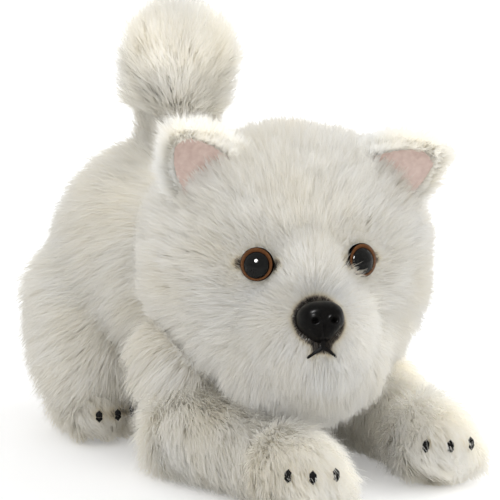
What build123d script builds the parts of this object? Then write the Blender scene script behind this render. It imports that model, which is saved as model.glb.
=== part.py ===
from build123d import *
import os
from math import asin, atan2, cos, degrees, radians, sin, sqrt, tan

# A stuffed toy dog in a play bow: chest and forelegs down, rump and tail up.
# It faces -Y, its left side is +X and it stands on z = 0. All lengths are in millimetres.
# Every soft form is given by the outside of its fur; the fabric lies one pile depth below.

# Fits
CLEAR = 0.3             # gap between soft pieces that lie against each other
SNUG = 0.05             # gap round plastic parts and thread
LINER = 5.0             # depth of fur and fabric that lines a socket

# Pile depths, from the fabric to the fur tips
BODY_PILE = 14.0
HEAD_PILE = 12.0
MUZZLE_PILE = 6.0
LEG_PILE = 8.0
FOOT_PILE = 6.0
TAIL_PILE = 12.0
FABRIC = 1.5            # cloth that a plastic part is clamped through
FLAT = 1.0              # how far a soft form settles flat on the floor

# Rump, middle, chest, thighs and shoulders of the body
RUMP_R = 58.0
RUMP_Y = 48.0
RUMP_Z = 70.0
MIDDLE_R = 50.0
MIDDLE_Y = 6.0
MIDDLE_Z = 64.0
CHEST_R = 34.0
CHEST_Y = -10.0
HIP_R = 34.0
HIP_X = 32.0
HIP_Y = 60.0
HIP_Z = 52.0
KNEE_R = 26.0
KNEE_X = 40.0
KNEE_Y = 40.0
KNEE_LIFT = 3.0         # underside of a knee above the floor
SHOULDER_R = 28.0
SHOULDER_X = 38.0
SHOULDER_Y = -28.0
SHOULDER_Z = 45.0
BELLY_SEAM_Z = 32.0     # height of the seam between the side panels and the belly

# Hind feet
HEEL_R = 14.0
HEEL_X = 49.0
HEEL_Y = 51.0
TOES_R = 16.0
TOES_X = 51.0
TOES_Y = 27.0
FOOT_SINK = 2.5         # part of the foot's round that is pressed flat

# Forelegs, lying forward on the floor
ELBOW_R = 19.0
ELBOW_X = 44.0
ELBOW_Y = -38.0
PAW_R = 17.5
PAW_X = 34.0
PAW_Y = -106.0
PAW_BACK = 6.0          # the left paw rests this much further back than the right
LEFT_SPLAY = 12.0       # degrees that the toes turn outward from the leg
RIGHT_SPLAY = 36.0
SPREAD_OUT = 18.0       # degrees that a foreleg swings outward
SPREAD_IN = 4.0         # and inward

# Head and neck
HEAD_R = 58.0
HEAD_Y = -41.0
HEAD_OVER_LEGS = 1.5    # gap between the head and the elbows
HEAD_TURN = -22.5       # the head looks this far to the dog's right
NECK_PAD = 6.0          # thickness of the stuffed neck between head and chest
NECK_SPREAD = 44.0      # half angle that the neck covers on the back of the head
COLLAR_SPREAD = 33.0    # half angle where the collar of fur begins
NECK_DROP = 10.0        # degrees that the neck points below level
CROWN_SEAM_Z = 26.0     # seams of the head, measured from its centre
CHIN_SEAM_Z = -30.0
CHEEK_SEAM_Y = -30.0
MUZZLE_R = 26.0
MUZZLE_Y = -44.0
MUZZLE_Z = -16.0

# Safety eyes
EYE_R = 6.7
EYE_PUPIL_R = 4.3
EYE_DISC = 1.0          # thickness of the iris and pupil discs
EYE_BACK = 1.5
EYE_DOME = 4.2
EYE_SIDE = 26.0         # degrees from straight ahead
EYE_UP = 12.0
EYE_HOLLOW = 2.0        # bare ring round the eye at the fabric
EYE_FLARE = 4.0         # extra radius of the hollow at the fur tips

# Nose and the stems and washers of the plastic parts
NOSE_TOP = 19.0
NOSE_BOTTOM = 11.0
NOSE_HEIGHT = 16.0
NOSE_DEPTH = 9.5
NOSE_CORNER = 3.5
NOSE_EDGE = 2.5
NOSTRIL_R = 1.7
NOSE_UP = 21.0          # degrees above level, from the muzzle's centre
STEM_R = 2.2
STEM_LENGTH = 10.0
WASHER_R = 7.5
WASHER_T = 1.5

# Stitched mouth and claws
THREAD_R = 0.8
CLAW_LENGTH = 5.0
CLAW_FAN = 30.0         # degrees between claws
CLAW_UP = 14.0          # degrees above the middle of the paw
MOUTH_TOP = 0.0         # degrees above and below the muzzle's centre
MOUTH_SPLIT = -6.0
MOUTH_END = -13.0
MOUTH_WIDE = 13.0       # degrees to each corner
CLOSING_STITCHES = 7
CLOSING_PITCH = 5.0
CLOSING_BEHIND = 16.0   # middle of the closing seam behind the lowest point of the rump

# Ears
EAR_BASE = 28.0
EAR_HEIGHT = 23.0
EAR_TIP_OUT = 4.0       # the tip stands this far out from the middle of the base
EAR_T = 6.0
EAR_LINING_T = 1.5
EAR_INSET = 3.5         # width of the furry rim round the lining
EAR_TIP_R = 6.0
EAR_SINK = 2.0          # hinge line below the fur tips of the crown
LEFT_EAR_SIDE = 46.0    # degrees from the top of the head
RIGHT_EAR_SIDE = 40.0
EAR_AHEAD = 10.0        # degrees forward of the head's middle
EAR_FORWARD = 25.0      # degrees of bend
EAR_BACK = 15.0

# Tail
TAIL_ROOT_R = 16.0
TAIL_ROOT_SINK = 10.0   # centre of the tail's root below the top of the rump
TAIL_R = 25.0
TAIL_LENGTH = 38.5      # from the root's centre to the centre of the round tip
TAIL_Y = 46.0
TAIL_SWAY = 15.0

# Worked out from the above
ELBOW_Z = ELBOW_R - FLAT
PAW_Z = PAW_R - FLAT
CHEST_Z = CHEST_R - FLAT
HEEL_Z = HEEL_R - FOOT_SINK
TOES_Z = TOES_R - FOOT_SINK
KNEE_Z = KNEE_R + KNEE_LIFT
HEAD_RISE = sqrt((HEAD_R + ELBOW_R + HEAD_OVER_LEGS) ** 2 - ELBOW_X ** 2 - (HEAD_Y - ELBOW_Y) ** 2)
HEAD_Z = ELBOW_Z + HEAD_RISE
NECK_IN = HEAD_R + CLEAR
NECK_OUT = NECK_IN + NECK_PAD
HEAD_CUP = NECK_OUT + CLEAR
TAIL_ROOT_Z = RUMP_Z + RUMP_R - TAIL_ROOT_SINK
FRONT = PAW_Y - PAW_R
BACK = RUMP_Y + RUMP_R
CENTRE = -(FRONT + BACK) / 2        # moves the middle of the toy's length to y = 0
BIG = 4 * (RUMP_R + HEAD_R)         # larger than the whole toy

HEAD = Pos(0, HEAD_Y, HEAD_Z) * Rot(0, 0, HEAD_TURN)


def ball(x, y, z, radius):
    return Pos(x, y, z) * Sphere(radius)


def above(z):
    """Everything above the height z."""
    return Pos(0, 0, z + BIG / 2) * Box(BIG, BIG, BIG)


def below(z):
    return Pos(0, 0, z - BIG / 2) * Box(BIG, BIG, BIG)


def ahead(y):
    """Everything on the -Y side of y."""
    return Pos(0, y - BIG / 2, 0) * Box(BIG, BIG, BIG)


def behind(y):
    return Pos(0, y + BIG / 2, 0) * Box(BIG, BIG, BIG)


def beside(side):
    """The half of space on the dog's left (1) or right (-1)."""
    return Pos(side * BIG / 2, 0, 0) * Box(BIG, BIG, BIG)


def limb(r1, r2, length):
    """Two balls on X joined by the cone that touches both, as one solid of revolution."""
    lean = asin((r1 - r2) / length)
    rear = (r1 * sin(lean), r1 * cos(lean))
    front = (length + r2 * sin(lean), r2 * cos(lean))
    half_rear = (radians(270) - lean) / 2
    half_front = (radians(90) - lean) / 2
    rear_mid = (r1 * cos(half_rear), r1 * sin(half_rear))
    front_mid = (length + r2 * cos(half_front), r2 * sin(half_front))
    outline = [
        ThreePointArc((-r1, 0), rear_mid, rear),
        Line(rear, front),
        ThreePointArc(front, front_mid, (length + r2, 0)),
        Line((length + r2, 0), (-r1, 0)),
    ]
    return revolve(make_face(outline), Axis.X, 360)


def aimed(start, direction):
    """A place at start whose local X points along direction."""
    across = Vector(0, 0, 1).cross(direction)
    up = Vector(1, 0, 0) if across.length < 0.1 else direction.cross(across)
    return Plane(origin=start, x_dir=direction, z_dir=up).location


def joined(start, r1, end, r2):
    """Two balls and the cone between them."""
    run = end - start
    return aimed(start, run) * limb(r1, r2, run.length)


def thread(start, end, radius):
    """One straight stitch with round ends."""
    return joined(start, radius, end, radius)


# ---------------------------------------------------------------- body

def foot_form(side, inset):
    heel = Vector(side * HEEL_X, HEEL_Y, HEEL_Z)
    toes = Vector(side * TOES_X, TOES_Y, TOES_Z)
    return joined(heel, HEEL_R - inset, toes, TOES_R - inset) & above(max(inset, 0))


def foreleg_place(side):
    elbow = Vector(side * ELBOW_X, ELBOW_Y, ELBOW_Z)
    paw = Vector(side * PAW_X, PAW_Y + (PAW_BACK if side > 0 else 0), PAW_Z)
    return elbow, paw


def foreleg_form(side, inset):
    elbow, paw = foreleg_place(side)
    return joined(elbow, ELBOW_R - inset, paw, PAW_R - inset) & above(max(inset, 0))


def tail_form(inset):
    return Pos(0, TAIL_Y, TAIL_ROOT_Z) * Rot(0, -90, 0) * limb(
        TAIL_ROOT_R - inset, TAIL_R - inset, TAIL_LENGTH)


def tail_socket(gap):
    """The hollow in the rump that the tail's root turns in, wide enough for the sway."""
    lean = asin((TAIL_R - TAIL_ROOT_R) / TAIL_LENGTH) + radians(TAIL_SWAY)
    mouth = (TAIL_ROOT_R + gap) / cos(lean)
    low = TAIL_ROOT_R / 3
    high = 2 * TAIL_ROOT_SINK
    cone = Cone(mouth - low * tan(lean), mouth + high * tan(lean), low + high,
                align=(Align.CENTER, Align.CENTER, Align.MIN))
    return Pos(0, TAIL_Y, TAIL_ROOT_Z) * (Sphere(TAIL_ROOT_R + gap) + Pos(0, 0, -low) * cone)


def foreleg_room(side, gap):
    """The space that a foreleg turns in: a ball at the elbow, all in front of it under a flat top,
    and a straight way along the leg at each end of its swing."""
    elbow, paw = foreleg_place(side)
    run = paw - elbow
    heading = degrees(atan2(run.X, -run.Y))
    wide = ELBOW_R + gap
    top = ELBOW_Z + wide
    front = Pos(0, -BIG / 2, 0) * Box(4 * ELBOW_R, BIG, 2 * top)
    way = Pos(0, -BIG / 2, 0) * Box(2 * wide, BIG, 2 * top)
    room = front + Rot(0, 0, heading - side * SPREAD_IN) * way + Rot(0, 0, heading + side * SPREAD_OUT) * way
    return ball(elbow.X, elbow.Y, elbow.Z, wide) + (Pos(elbow.X, elbow.Y, 0) * room - beside(-side))


def body_form(side, inset, gap):
    """One half of the body's fur outline, drawn in by inset, with its hollows enlarged by gap."""
    half = beside(side)
    rump = Vector(0, RUMP_Y, RUMP_Z)
    form = joined(rump, RUMP_R - inset, Vector(0, MIDDLE_Y, MIDDLE_Z), MIDDLE_R - inset) & half
    form += ball(0, CHEST_Y, CHEST_Z, CHEST_R - inset) & half
    hip = Vector(side * HIP_X, HIP_Y, HIP_Z)
    knee = Vector(side * KNEE_X, KNEE_Y, KNEE_Z)
    form += joined(hip, HIP_R - inset, knee, KNEE_R - inset) & half
    form += ball(side * SHOULDER_X, SHOULDER_Y, SHOULDER_Z, SHOULDER_R - inset)
    form -= ball(0, HEAD_Y, HEAD_Z, HEAD_CUP + gap)
    form -= tail_socket(CLEAR + gap)
    form -= foreleg_room(side, CLEAR + gap)
    form -= foot_form(side, -CLEAR - gap)
    return form - below(inset)


def ball_point(centre, radius, azimuth, height):
    """A point on a ball: azimuth in degrees from straight ahead, height in degrees above level."""
    a, e = radians(azimuth), radians(height)
    return centre + Vector(sin(a) * cos(e), -cos(a) * cos(e), sin(e)) * radius


def claws(centre, radius, heading, grow=0):
    """Three short stitches between the toes, half sunk in the fur, or the grooves that they lie in."""
    half = degrees(CLAW_LENGTH / 2 / radius)
    group = []
    for k in (-1, 0, 1):
        toe = heading + k * CLAW_FAN
        high = ball_point(centre, radius - THREAD_R / 2, toe, CLAW_UP + half)
        low = ball_point(centre, radius - THREAD_R / 2, toe, CLAW_UP - half)
        group.append(thread(high, low, THREAD_R + grow))
    return Compound(children=group)


def cut_for(solid, tools):
    for tool in tools.solids():
        solid -= tool
    return solid


def hind_foot(side):
    cover = foot_form(side, 0) - foot_form(side, FOOT_PILE - CLEAR)
    toes = Vector(side * TOES_X, TOES_Y, TOES_Z)
    grooves = claws(toes, TOES_R, 0, SNUG)
    return {
        "stuffing": foot_form(side, FOOT_PILE),
        "top": cut_for(cover & above(HEEL_Z), grooves),
        "under": cut_for(cover & below(HEEL_Z), grooves),
        "claws": claws(toes, TOES_R, 0),
    }


def foreleg(side):
    elbow, paw = foreleg_place(side)
    run = paw - elbow
    cover = foreleg_form(side, 0) - foreleg_form(side, LEG_PILE - CLEAR)
    heading = degrees(atan2(run.X, -run.Y)) + (LEFT_SPLAY if side > 0 else -RIGHT_SPLAY)
    grooves = claws(paw, PAW_R, heading, SNUG)
    return {
        "stuffing": foreleg_form(side, LEG_PILE),
        "top": cut_for(cover & above(PAW_Z), grooves),
        "under": cut_for(cover & below(PAW_Z), grooves),
        "claws": claws(paw, PAW_R, heading),
    }


def closing_stitches(grow=0):
    """Ladder stitches that close the stuffing hole under the rump, or their grooves."""
    group = []
    for k in range(CLOSING_STITCHES):
        y = CLOSING_BEHIND + CLOSING_PITCH * (k - (CLOSING_STITCHES - 1) / 2)
        ends = []
        for x in (-CLOSING_PITCH / 3, CLOSING_PITCH / 3):
            down = sqrt((RUMP_R - THREAD_R / 2) ** 2 - x ** 2 - y ** 2)
            ends.append(Vector(x, RUMP_Y + y, RUMP_Z - down))
        group.append(thread(ends[0], ends[1], THREAD_R + grow))
    return Compound(children=group)


def body():
    made = {"closing_stitches": closing_stitches()}
    bellies = []
    stuffings = []
    for side, name in ((1, "left"), (-1, "right")):
        cover = body_form(side, 0, 0) - body_form(side, BODY_PILE - CLEAR, LINER - CLEAR)
        made[f"{name}_side_panel"] = cover & above(BELLY_SEAM_Z)
        bellies.append(cover & below(BELLY_SEAM_Z))
        stuffings.append(body_form(side, BODY_PILE, LINER))
    made["belly_panel"] = cut_for(bellies[0] + bellies[1], closing_stitches(SNUG))
    made["torso_stuffing"] = stuffings[0] + stuffings[1]
    return made


def tail():
    cover = tail_form(0) - tail_form(TAIL_PILE - CLEAR)
    return {
        "tail_stuffing": tail_form(TAIL_PILE),
        "tail_left_panel": cover & beside(1),
        "tail_right_panel": cover & beside(-1),
    }


# ---------------------------------------------------------------- neck and head

def neck():
    """The stuffed neck between chest and head: a pad with a collar of fur round its rim."""
    drop = radians(NECK_DROP)
    place = Plane(origin=(0, HEAD_Y, HEAD_Z), x_dir=(1, 0, 0), z_dir=(0, cos(drop), -sin(drop))).location
    shell = Sphere(NECK_OUT) - Sphere(NECK_IN)

    def spread(angle):
        reach = 2 * NECK_OUT
        return Cone(0, reach * tan(radians(angle)), reach, align=(Align.CENTER, Align.CENTER, Align.MIN))

    gap = degrees(CLEAR / NECK_IN)
    return {
        "neck_stuffing": place * (shell & spread(COLLAR_SPREAD - gap)),
        "neck_collar": place * ((shell & spread(NECK_SPREAD)) - spread(COLLAR_SPREAD)),
    }


def head_form(inset_head, inset_muzzle):
    return Sphere(HEAD_R - inset_head) + ball(0, MUZZLE_Y, MUZZLE_Z, MUZZLE_R - inset_muzzle)


def facing(origin, azimuth, height):
    """A place at origin whose local Z points out of the face, with local Y up."""
    out = ball_point(Vector(0, 0, 0), 1, azimuth, height)
    level = Vector(0, 0, 1).cross(out).normalized()
    return Plane(origin=origin, x_dir=level, z_dir=out).location


def stack(radius, low, high):
    """A disc round local Z from low to high."""
    return Pos(0, 0, low) * Cylinder(radius, high - low, align=(Align.CENTER, Align.CENTER, Align.MIN))


def washer_top(inside):
    """Highest seat for a flat washer under cloth whose inner side is a ball."""
    return sqrt(inside ** 2 - WASHER_R ** 2) - SNUG


def washer(inside):
    top = washer_top(inside)
    return stack(WASHER_R, top - WASHER_T, top) - stack(STEM_R + SNUG, 0, inside)


def fastening_room(inside, seat):
    """The hollow that a stem and its washer take out of the stuffing."""
    room = stack(WASHER_R + SNUG, washer_top(inside) - WASHER_T - SNUG, seat)
    return room + stack(STEM_R + SNUG, seat - STEM_LENGTH - SNUG, seat)


def eye(inside):
    """A glass-like dome over a brown iris and a black pupil, on a backing with a stem."""
    seat = inside + FABRIC
    disc = seat + EYE_BACK
    dome = disc + EYE_DISC
    dome_r = (EYE_R ** 2 + EYE_DOME ** 2) / (2 * EYE_DOME)
    backing = stack(EYE_R + 2 * SNUG, seat, disc) + stack(STEM_R, seat - STEM_LENGTH, seat)
    return {
        "backing": backing,
        "iris": stack(EYE_R, disc, dome) - stack(EYE_PUPIL_R + SNUG, disc, dome),
        "pupil": stack(EYE_PUPIL_R, disc, dome),
        "dome": Pos(0, 0, dome + EYE_DOME - dome_r) * Sphere(dome_r) & above(dome),
        "washer": washer(inside),
    }


def eye_hollow(inside):
    seat = inside + FABRIC
    depth = HEAD_R - seat + EYE_HOLLOW
    flare = Cone(EYE_R + EYE_HOLLOW, EYE_R + EYE_HOLLOW + EYE_FLARE, depth,
                 align=(Align.CENTER, Align.CENTER, Align.MIN))
    return Pos(0, 0, seat) * flare + stack(STEM_R + SNUG, 0, seat)


def nose_outline(grow):
    top, bottom, half = NOSE_TOP / 2 + grow, NOSE_BOTTOM / 2 + grow, NOSE_HEIGHT / 2 + grow
    outline = make_face(Polyline((-top, half), (top, half), (bottom, -half), (-bottom, -half), close=True))
    return fillet(outline.vertices(), NOSE_CORNER + grow)


def nose(inside):
    seat = inside + FABRIC
    front = seat + NOSE_DEPTH
    form = Pos(0, 0, seat) * extrude(nose_outline(0), NOSE_DEPTH)
    form = fillet(form.edges().group_by(Axis.Z)[-1], NOSE_EDGE)
    for x in (-1, 1):
        form -= ball(x * NOSE_BOTTOM / 3, -NOSE_HEIGHT / 8, front, NOSTRIL_R)
    return form + stack(STEM_R, seat - STEM_LENGTH, seat)


def mouth(grow=0):
    """A stitched mouth: down from the nose, then out to both corners, or its groove."""
    centre = Vector(0, MUZZLE_Y, MUZZLE_Z)
    radius = MUZZLE_R - THREAD_R / 2
    split = ball_point(centre, radius, 0, MOUTH_SPLIT)
    line = thread(ball_point(centre, radius, 0, MOUTH_TOP), split, THREAD_R + grow)
    for side in (-1, 1):
        corner = ball_point(centre, radius, side * MOUTH_WIDE, MOUTH_END)
        line += thread(split, corner, THREAD_R + grow)
    return line


def ear_place(side):
    """The ear's hinge line is local X, its height is local Z and its furry back looks along local Y."""
    a, e = radians(LEFT_EAR_SIDE if side > 0 else RIGHT_EAR_SIDE), radians(EAR_AHEAD)
    out = Vector(side * sin(a) * cos(e), -sin(e), cos(a) * cos(e))
    along = Vector(cos(a), 0, -side * sin(a))
    return Plane(origin=out * (HEAD_R - EAR_SINK), x_dir=along, z_dir=out).location


def ear_outline(side, inset, foot):
    half = EAR_BASE / 2 - inset
    outline = make_face(Polyline((-half, foot), (half, foot), (side * EAR_TIP_OUT, EAR_HEIGHT - inset), close=True))
    tip = outline.vertices().sort_by(Axis.Y)[-1]
    return fillet(tip, EAR_TIP_R - inset)


def ear(side):
    """A rounded triangle of fur with a smooth lining on its front, and a round roll along the hinge line."""
    upright = Rot(90, 0, 0)
    back = extrude(upright * ear_outline(side, 0, 0), EAR_T / 2, both=True)
    roll = Rot(0, 90, 0) * Cylinder(EAR_T / 2, EAR_BASE)
    lining = extrude(upright * ear_outline(side, EAR_INSET, EAR_T / 2 + EAR_INSET), EAR_T / 2, both=True)
    lining = lining & ahead(EAR_LINING_T - EAR_T / 2)
    return {"fur": (back + roll) - lining, "lining": lining}


def ear_slot():
    """The groove in the crown that the roll lies in, flared for the bend."""
    roll = EAR_T / 2 + CLEAR
    high = 3 * EAR_SINK
    wide = roll / cos(radians(EAR_FORWARD)) + high * tan(radians(EAR_FORWARD))
    low = roll / cos(radians(EAR_FORWARD))
    flare = make_face(Polyline((-low, 0), (low, 0), (wide, high), (-wide, high), close=True))
    length = EAR_BASE + 2 * CLEAR
    return Rot(0, 90, 0) * Cylinder(roll, length) + Rot(90, 90, 0) * (extrude(flare, length / 2, both=True))


def head():
    """The head in its own frame, centred on its ball and looking along -Y, with its ears apart."""
    inside = HEAD_R - HEAD_PILE + CLEAR
    inside_muzzle = MUZZLE_R - MUZZLE_PILE + CLEAR
    stuffing = head_form(HEAD_PILE, MUZZLE_PILE)
    skin = head_form(0, 0) - head_form(HEAD_PILE - CLEAR, MUZZLE_PILE - CLEAR)
    made = {}
    ears = {}
    for side, name in ((1, "left"), (-1, "right")):
        place = facing(Vector(0, 0, 0), side * EYE_SIDE, EYE_UP)
        skin -= place * eye_hollow(inside)
        stuffing -= place * fastening_room(inside, inside + FABRIC)
        for piece, solid in eye(inside).items():
            made[f"{name}_eye_{piece}"] = place * solid
        skin -= ear_place(side) * ear_slot()
        for piece, solid in ear(side).items():
            ears[f"{name}_ear_{piece}"] = ear_place(side) * solid
    place = facing(Vector(0, MUZZLE_Y, MUZZLE_Z), 0, NOSE_UP)
    seat = inside_muzzle + FABRIC
    skin -= place * (Pos(0, 0, seat) * extrude(nose_outline(CLEAR), NOSE_DEPTH))
    skin -= place * stack(STEM_R + SNUG, 0, seat)
    stuffing -= place * fastening_room(inside_muzzle, seat)
    made["nose"] = place * nose(inside_muzzle)
    made["nose_washer"] = place * washer(inside_muzzle)
    made["mouth_stitching"] = mouth()
    skin -= mouth(SNUG)
    middle = skin & above(CHIN_SEAM_Z) & below(CROWN_SEAM_Z)
    made["head_stuffing"] = stuffing
    made["crown_panel"] = skin & above(CROWN_SEAM_Z)
    made["chin_panel"] = skin & below(CHIN_SEAM_Z)
    made["face_panel"] = middle & ahead(CHEEK_SEAM_Y)
    made["left_cheek_panel"] = middle & behind(CHEEK_SEAM_Y) & beside(1)
    made["right_cheek_panel"] = middle & behind(CHEEK_SEAM_Y) & beside(-1)
    made.update(ears)
    return {node: HEAD * solid for node, solid in made.items()}


def main():
    os.makedirs("parts", exist_ok=True)
    made = body()
    made.update(tail())
    made.update(neck())
    made.update(head())
    for side, name in ((1, "left"), (-1, "right")):
        for limb_name, pieces in (("hind_foot", hind_foot(side)), ("foreleg", foreleg(side))):
            for piece, solid in pieces.items():
                made[f"{name}_{limb_name}_{piece}"] = solid
    for node, solid in made.items():
        export_step(Pos(0, CENTRE, 0) * solid, f"parts/{node}.step")
    print(f"{len(made)} nodes, {BACK - FRONT:.1f} mm long")


if __name__ == "__main__":
    main()
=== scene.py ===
from math import cos, pi, radians, sin, sqrt

import bmesh
import bpy
import numpy as np
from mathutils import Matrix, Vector


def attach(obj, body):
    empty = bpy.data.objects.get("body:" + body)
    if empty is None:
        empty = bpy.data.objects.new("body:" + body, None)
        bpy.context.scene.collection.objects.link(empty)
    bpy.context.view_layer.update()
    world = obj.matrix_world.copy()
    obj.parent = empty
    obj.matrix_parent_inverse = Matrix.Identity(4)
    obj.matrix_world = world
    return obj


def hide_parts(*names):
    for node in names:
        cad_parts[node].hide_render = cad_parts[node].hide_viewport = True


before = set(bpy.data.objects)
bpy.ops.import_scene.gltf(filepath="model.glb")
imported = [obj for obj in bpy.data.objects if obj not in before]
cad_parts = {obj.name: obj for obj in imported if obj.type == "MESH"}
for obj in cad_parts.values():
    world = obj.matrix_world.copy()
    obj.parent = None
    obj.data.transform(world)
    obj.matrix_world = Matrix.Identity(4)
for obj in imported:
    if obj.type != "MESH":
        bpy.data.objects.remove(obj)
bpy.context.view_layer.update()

# Lengths are in millimetres up to the point where a mesh is made. The dog faces -Y and its left is +X.
# Head coordinates start at the head's middle and turn with the face, which looks along their -Y.
MM = 0.001
UV = "OFBake"
DOWN = np.array([0.0, 0.0, -1.0])
SIDES = ((1, "left"), (-1, "right"))
HEAD_AT = np.array([0.0, -32.25, 82.94])
HEAD_TURN = radians(-22.5)
MUZZLE_AT = np.array([0.0, -44.0, -16.0])
EYE_SIDE = radians(26)
EYE_UP = radians(12)
EYE_SEAT = 47.8
NECK_DROP = radians(10)
NECK_OUT = np.array([0, cos(NECK_DROP), -sin(NECK_DROP)])
HEAD_CUP = 57.5             # radius of the chest's hollow round the head
CUP_BARE = 58.2             # the chest has no fur nearer than this to the head's middle
TURN = np.array([[cos(HEAD_TURN), -sin(HEAD_TURN), 0], [sin(HEAD_TURN), cos(HEAD_TURN), 0], [0, 0, 1]])


def from_head(q):
    """Head coordinates to the frame's."""
    return np.asarray(q, float) @ TURN.T + HEAD_AT


def to_head(p):
    return (np.asarray(p, float) - HEAD_AT) @ TURN


def unit(v):
    return v / np.maximum(np.linalg.norm(v, axis=-1, keepdims=True), 1e-9)


def smooth(low, high, x):
    t = np.clip((x - low) / (high - low), 0, 1)
    return t * t * (3 - 2 * t)


def near(p, centre, radius):
    """1 at centre, falling to 0 at radius."""
    return 1 - smooth(0, radius, np.linalg.norm(p - np.asarray(centre, float), axis=-1))


def hashed(cells, seed):
    """Three repeatable numbers from -1 to 1 for each whole-number cell."""
    c = cells.astype(np.int64)
    h = (c[..., 0] * 374761393 + c[..., 1] * 668265263 + c[..., 2] * 1103515245 + seed * 362437) & 0xFFFFFFFF
    made = []
    for _ in range(3):
        h = ((h ^ (h >> 13)) * 1274126177) & 0xFFFFFFFF
        h = h ^ (h >> 16)
        made.append(h / 2147483648.0 - 1.0)
        h = (h + 0x9E3779B9) & 0xFFFFFFFF
    return np.stack(made, -1)


def noise(p, size, seed):
    """A smooth field of vectors."""
    q = p / size
    cell = np.floor(q)
    f = q - cell
    f = f * f * (3 - 2 * f)
    total = 0
    for k in range(8):
        corner = np.array([k & 1, k >> 1 & 1, k >> 2])
        weight = np.prod(np.where(corner, f, 1 - f), axis=-1)
        total = total + weight[..., None] * hashed(cell + corner, seed)
    return total


def clumps(p, size, seed):
    """The nearest tuft's centre, and three numbers of its own."""
    cell = np.floor(p / size)
    best = np.full(len(p), 1e9)
    centre = p.copy()
    own = np.zeros_like(p)
    for k in range(27):
        there = cell + np.array([k % 3 - 1, k // 3 % 3 - 1, k // 9 - 1])
        point = (there + 0.5 + 0.5 * hashed(there, seed)) * size
        apart = ((point - p) ** 2).sum(1)
        closer = apart < best
        best[closer] = apart[closer]
        centre[closer] = point[closer]
        own[closer] = hashed(there[closer], seed + 7)
    return centre, own


# ---------------------------------------------------------------- soft forms under the fur

def new_mesh(name, verts, faces, material=None):
    mesh = bpy.data.meshes.new(name)
    mesh.from_pydata([tuple(v) for v in verts], [], [tuple(f) for f in faces])
    mesh.update()
    ob = bpy.data.objects.new(name, mesh)
    bpy.context.scene.collection.objects.link(ob)
    if material:
        mesh.materials.append(material)
    return ob


def smooth_shaded(ob):
    ob.data.polygons.foreach_set("use_smooth", [True] * len(ob.data.polygons))
    return ob


def ring_quads(rings, around, first=0):
    """The quads between rings of points: a point, its neighbour, and the same two on the next ring."""
    made = []
    for start in range(first, first + (rings - 1) * around, around):
        for k in range(around):
            a, b = start + k, start + (k + 1) % around
            made.append((a, b, b + around, a + around))
    return made


def sphere_points(fineness):
    bm = bmesh.new()
    bmesh.ops.create_icosphere(bm, subdivisions=fineness, radius=1)
    points = np.array([v.co[:] for v in bm.verts])
    faces = np.array([[v.index for v in f.verts] for f in bm.faces])
    bm.free()
    return points, faces


BALL, BALL_FACES = sphere_points(4)


def limb(a, ra, b, rb):
    """Balls from a to b, as parts of a form."""
    a, b = np.asarray(a, float), np.asarray(b, float)
    count = int(np.ceil(np.linalg.norm(b - a) / (0.3 * min(ra, rb)))) + 1
    return [(a + (b - a) * t, (ra + (rb - ra) * t,) * 3) for t in np.linspace(0, 1, count)]


def form(parts, voxel, rounds, turned=False, cut=None):
    """One closed skin round all the parts, smoothed: its vertices, triangles and vertex normals."""
    verts, faces, count = [], [], 0
    for centre, radii in parts:
        points = BALL * np.asarray(radii) + np.asarray(centre)
        verts.append(from_head(points) if turned else points)
        faces.append(BALL_FACES + count)
        count += len(points)
    ob = new_mesh("form", np.concatenate(verts), np.concatenate(faces))
    cutter = None
    mod = ob.modifiers.new("join", "REMESH")
    mod.mode, mod.voxel_size = "VOXEL", voxel
    if cut:
        cutter = new_mesh("cutter", BALL * cut[1] + np.asarray(cut[0]), BALL_FACES)
        mod = ob.modifiers.new("cut", "BOOLEAN")
        mod.operation, mod.object, mod.solver = "DIFFERENCE", cutter, "EXACT"
        mod = ob.modifiers.new("again", "REMESH")
        mod.mode, mod.voxel_size = "VOXEL", voxel
    made = ob.evaluated_get(bpy.context.evaluated_depsgraph_get()).to_mesh()
    made.calc_loop_triangles()
    co = np.empty(len(made.vertices) * 3)
    made.vertices.foreach_get("co", co)
    co = co.reshape(-1, 3)
    tris = np.empty(len(made.loop_triangles) * 3, np.int64)
    made.loop_triangles.foreach_get("vertices", tris)
    tris = tris.reshape(-1, 3)
    edges = np.empty(len(made.edges) * 2, np.int64)
    made.edges.foreach_get("vertices", edges)
    a, b = edges.reshape(-1, 2).T
    bpy.data.objects.remove(ob)
    if cutter:
        bpy.data.objects.remove(cutter)
    degree = np.bincount(np.concatenate([a, b]), minlength=len(co))[:, None]
    for _ in range(rounds):
        around = np.stack([np.bincount(a, co[b, k], len(co)) + np.bincount(b, co[a, k], len(co))
                           for k in range(3)], 1)
        co = 0.5 * co + 0.5 * around / degree
    return co, tris, vertex_normals(co, tris)


def vertex_normals(co, tris):
    face = np.cross(co[tris[:, 1]] - co[tris[:, 0]], co[tris[:, 2]] - co[tris[:, 0]])
    total = np.zeros_like(co)
    for k in range(3):
        for axis in range(3):
            total[:, axis] += np.bincount(tris[:, k], face[:, axis], len(co))
    return unit(total)


def skin_object(name, made, material):
    return smooth_shaded(new_mesh(name, made[0] * MM, made[1], material))


def roots(made, count, rng, weight=None):
    """Random points of a skin and their normals, as dense as weight says."""
    co, tris, normals = made
    a, b, c = co[tris[:, 0]], co[tris[:, 1]], co[tris[:, 2]]
    area = np.linalg.norm(np.cross(b - a, c - a), axis=1) / 2
    if weight is not None:
        area = area * weight((a + b + c) / 3, unit(normals[tris].sum(1)))
    total = np.cumsum(area)
    pick = np.searchsorted(total, rng.random(count) * total[-1]).clip(0, len(tris) - 1)
    r, s = np.sqrt(rng.random(count)), rng.random(count)
    w = np.stack([1 - r, r * (1 - s), r * s], 1)[:, :, None]
    corners = tris[pick]
    return (co[corners] * w).sum(1), unit((normals[corners] * w).sum(1))


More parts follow.
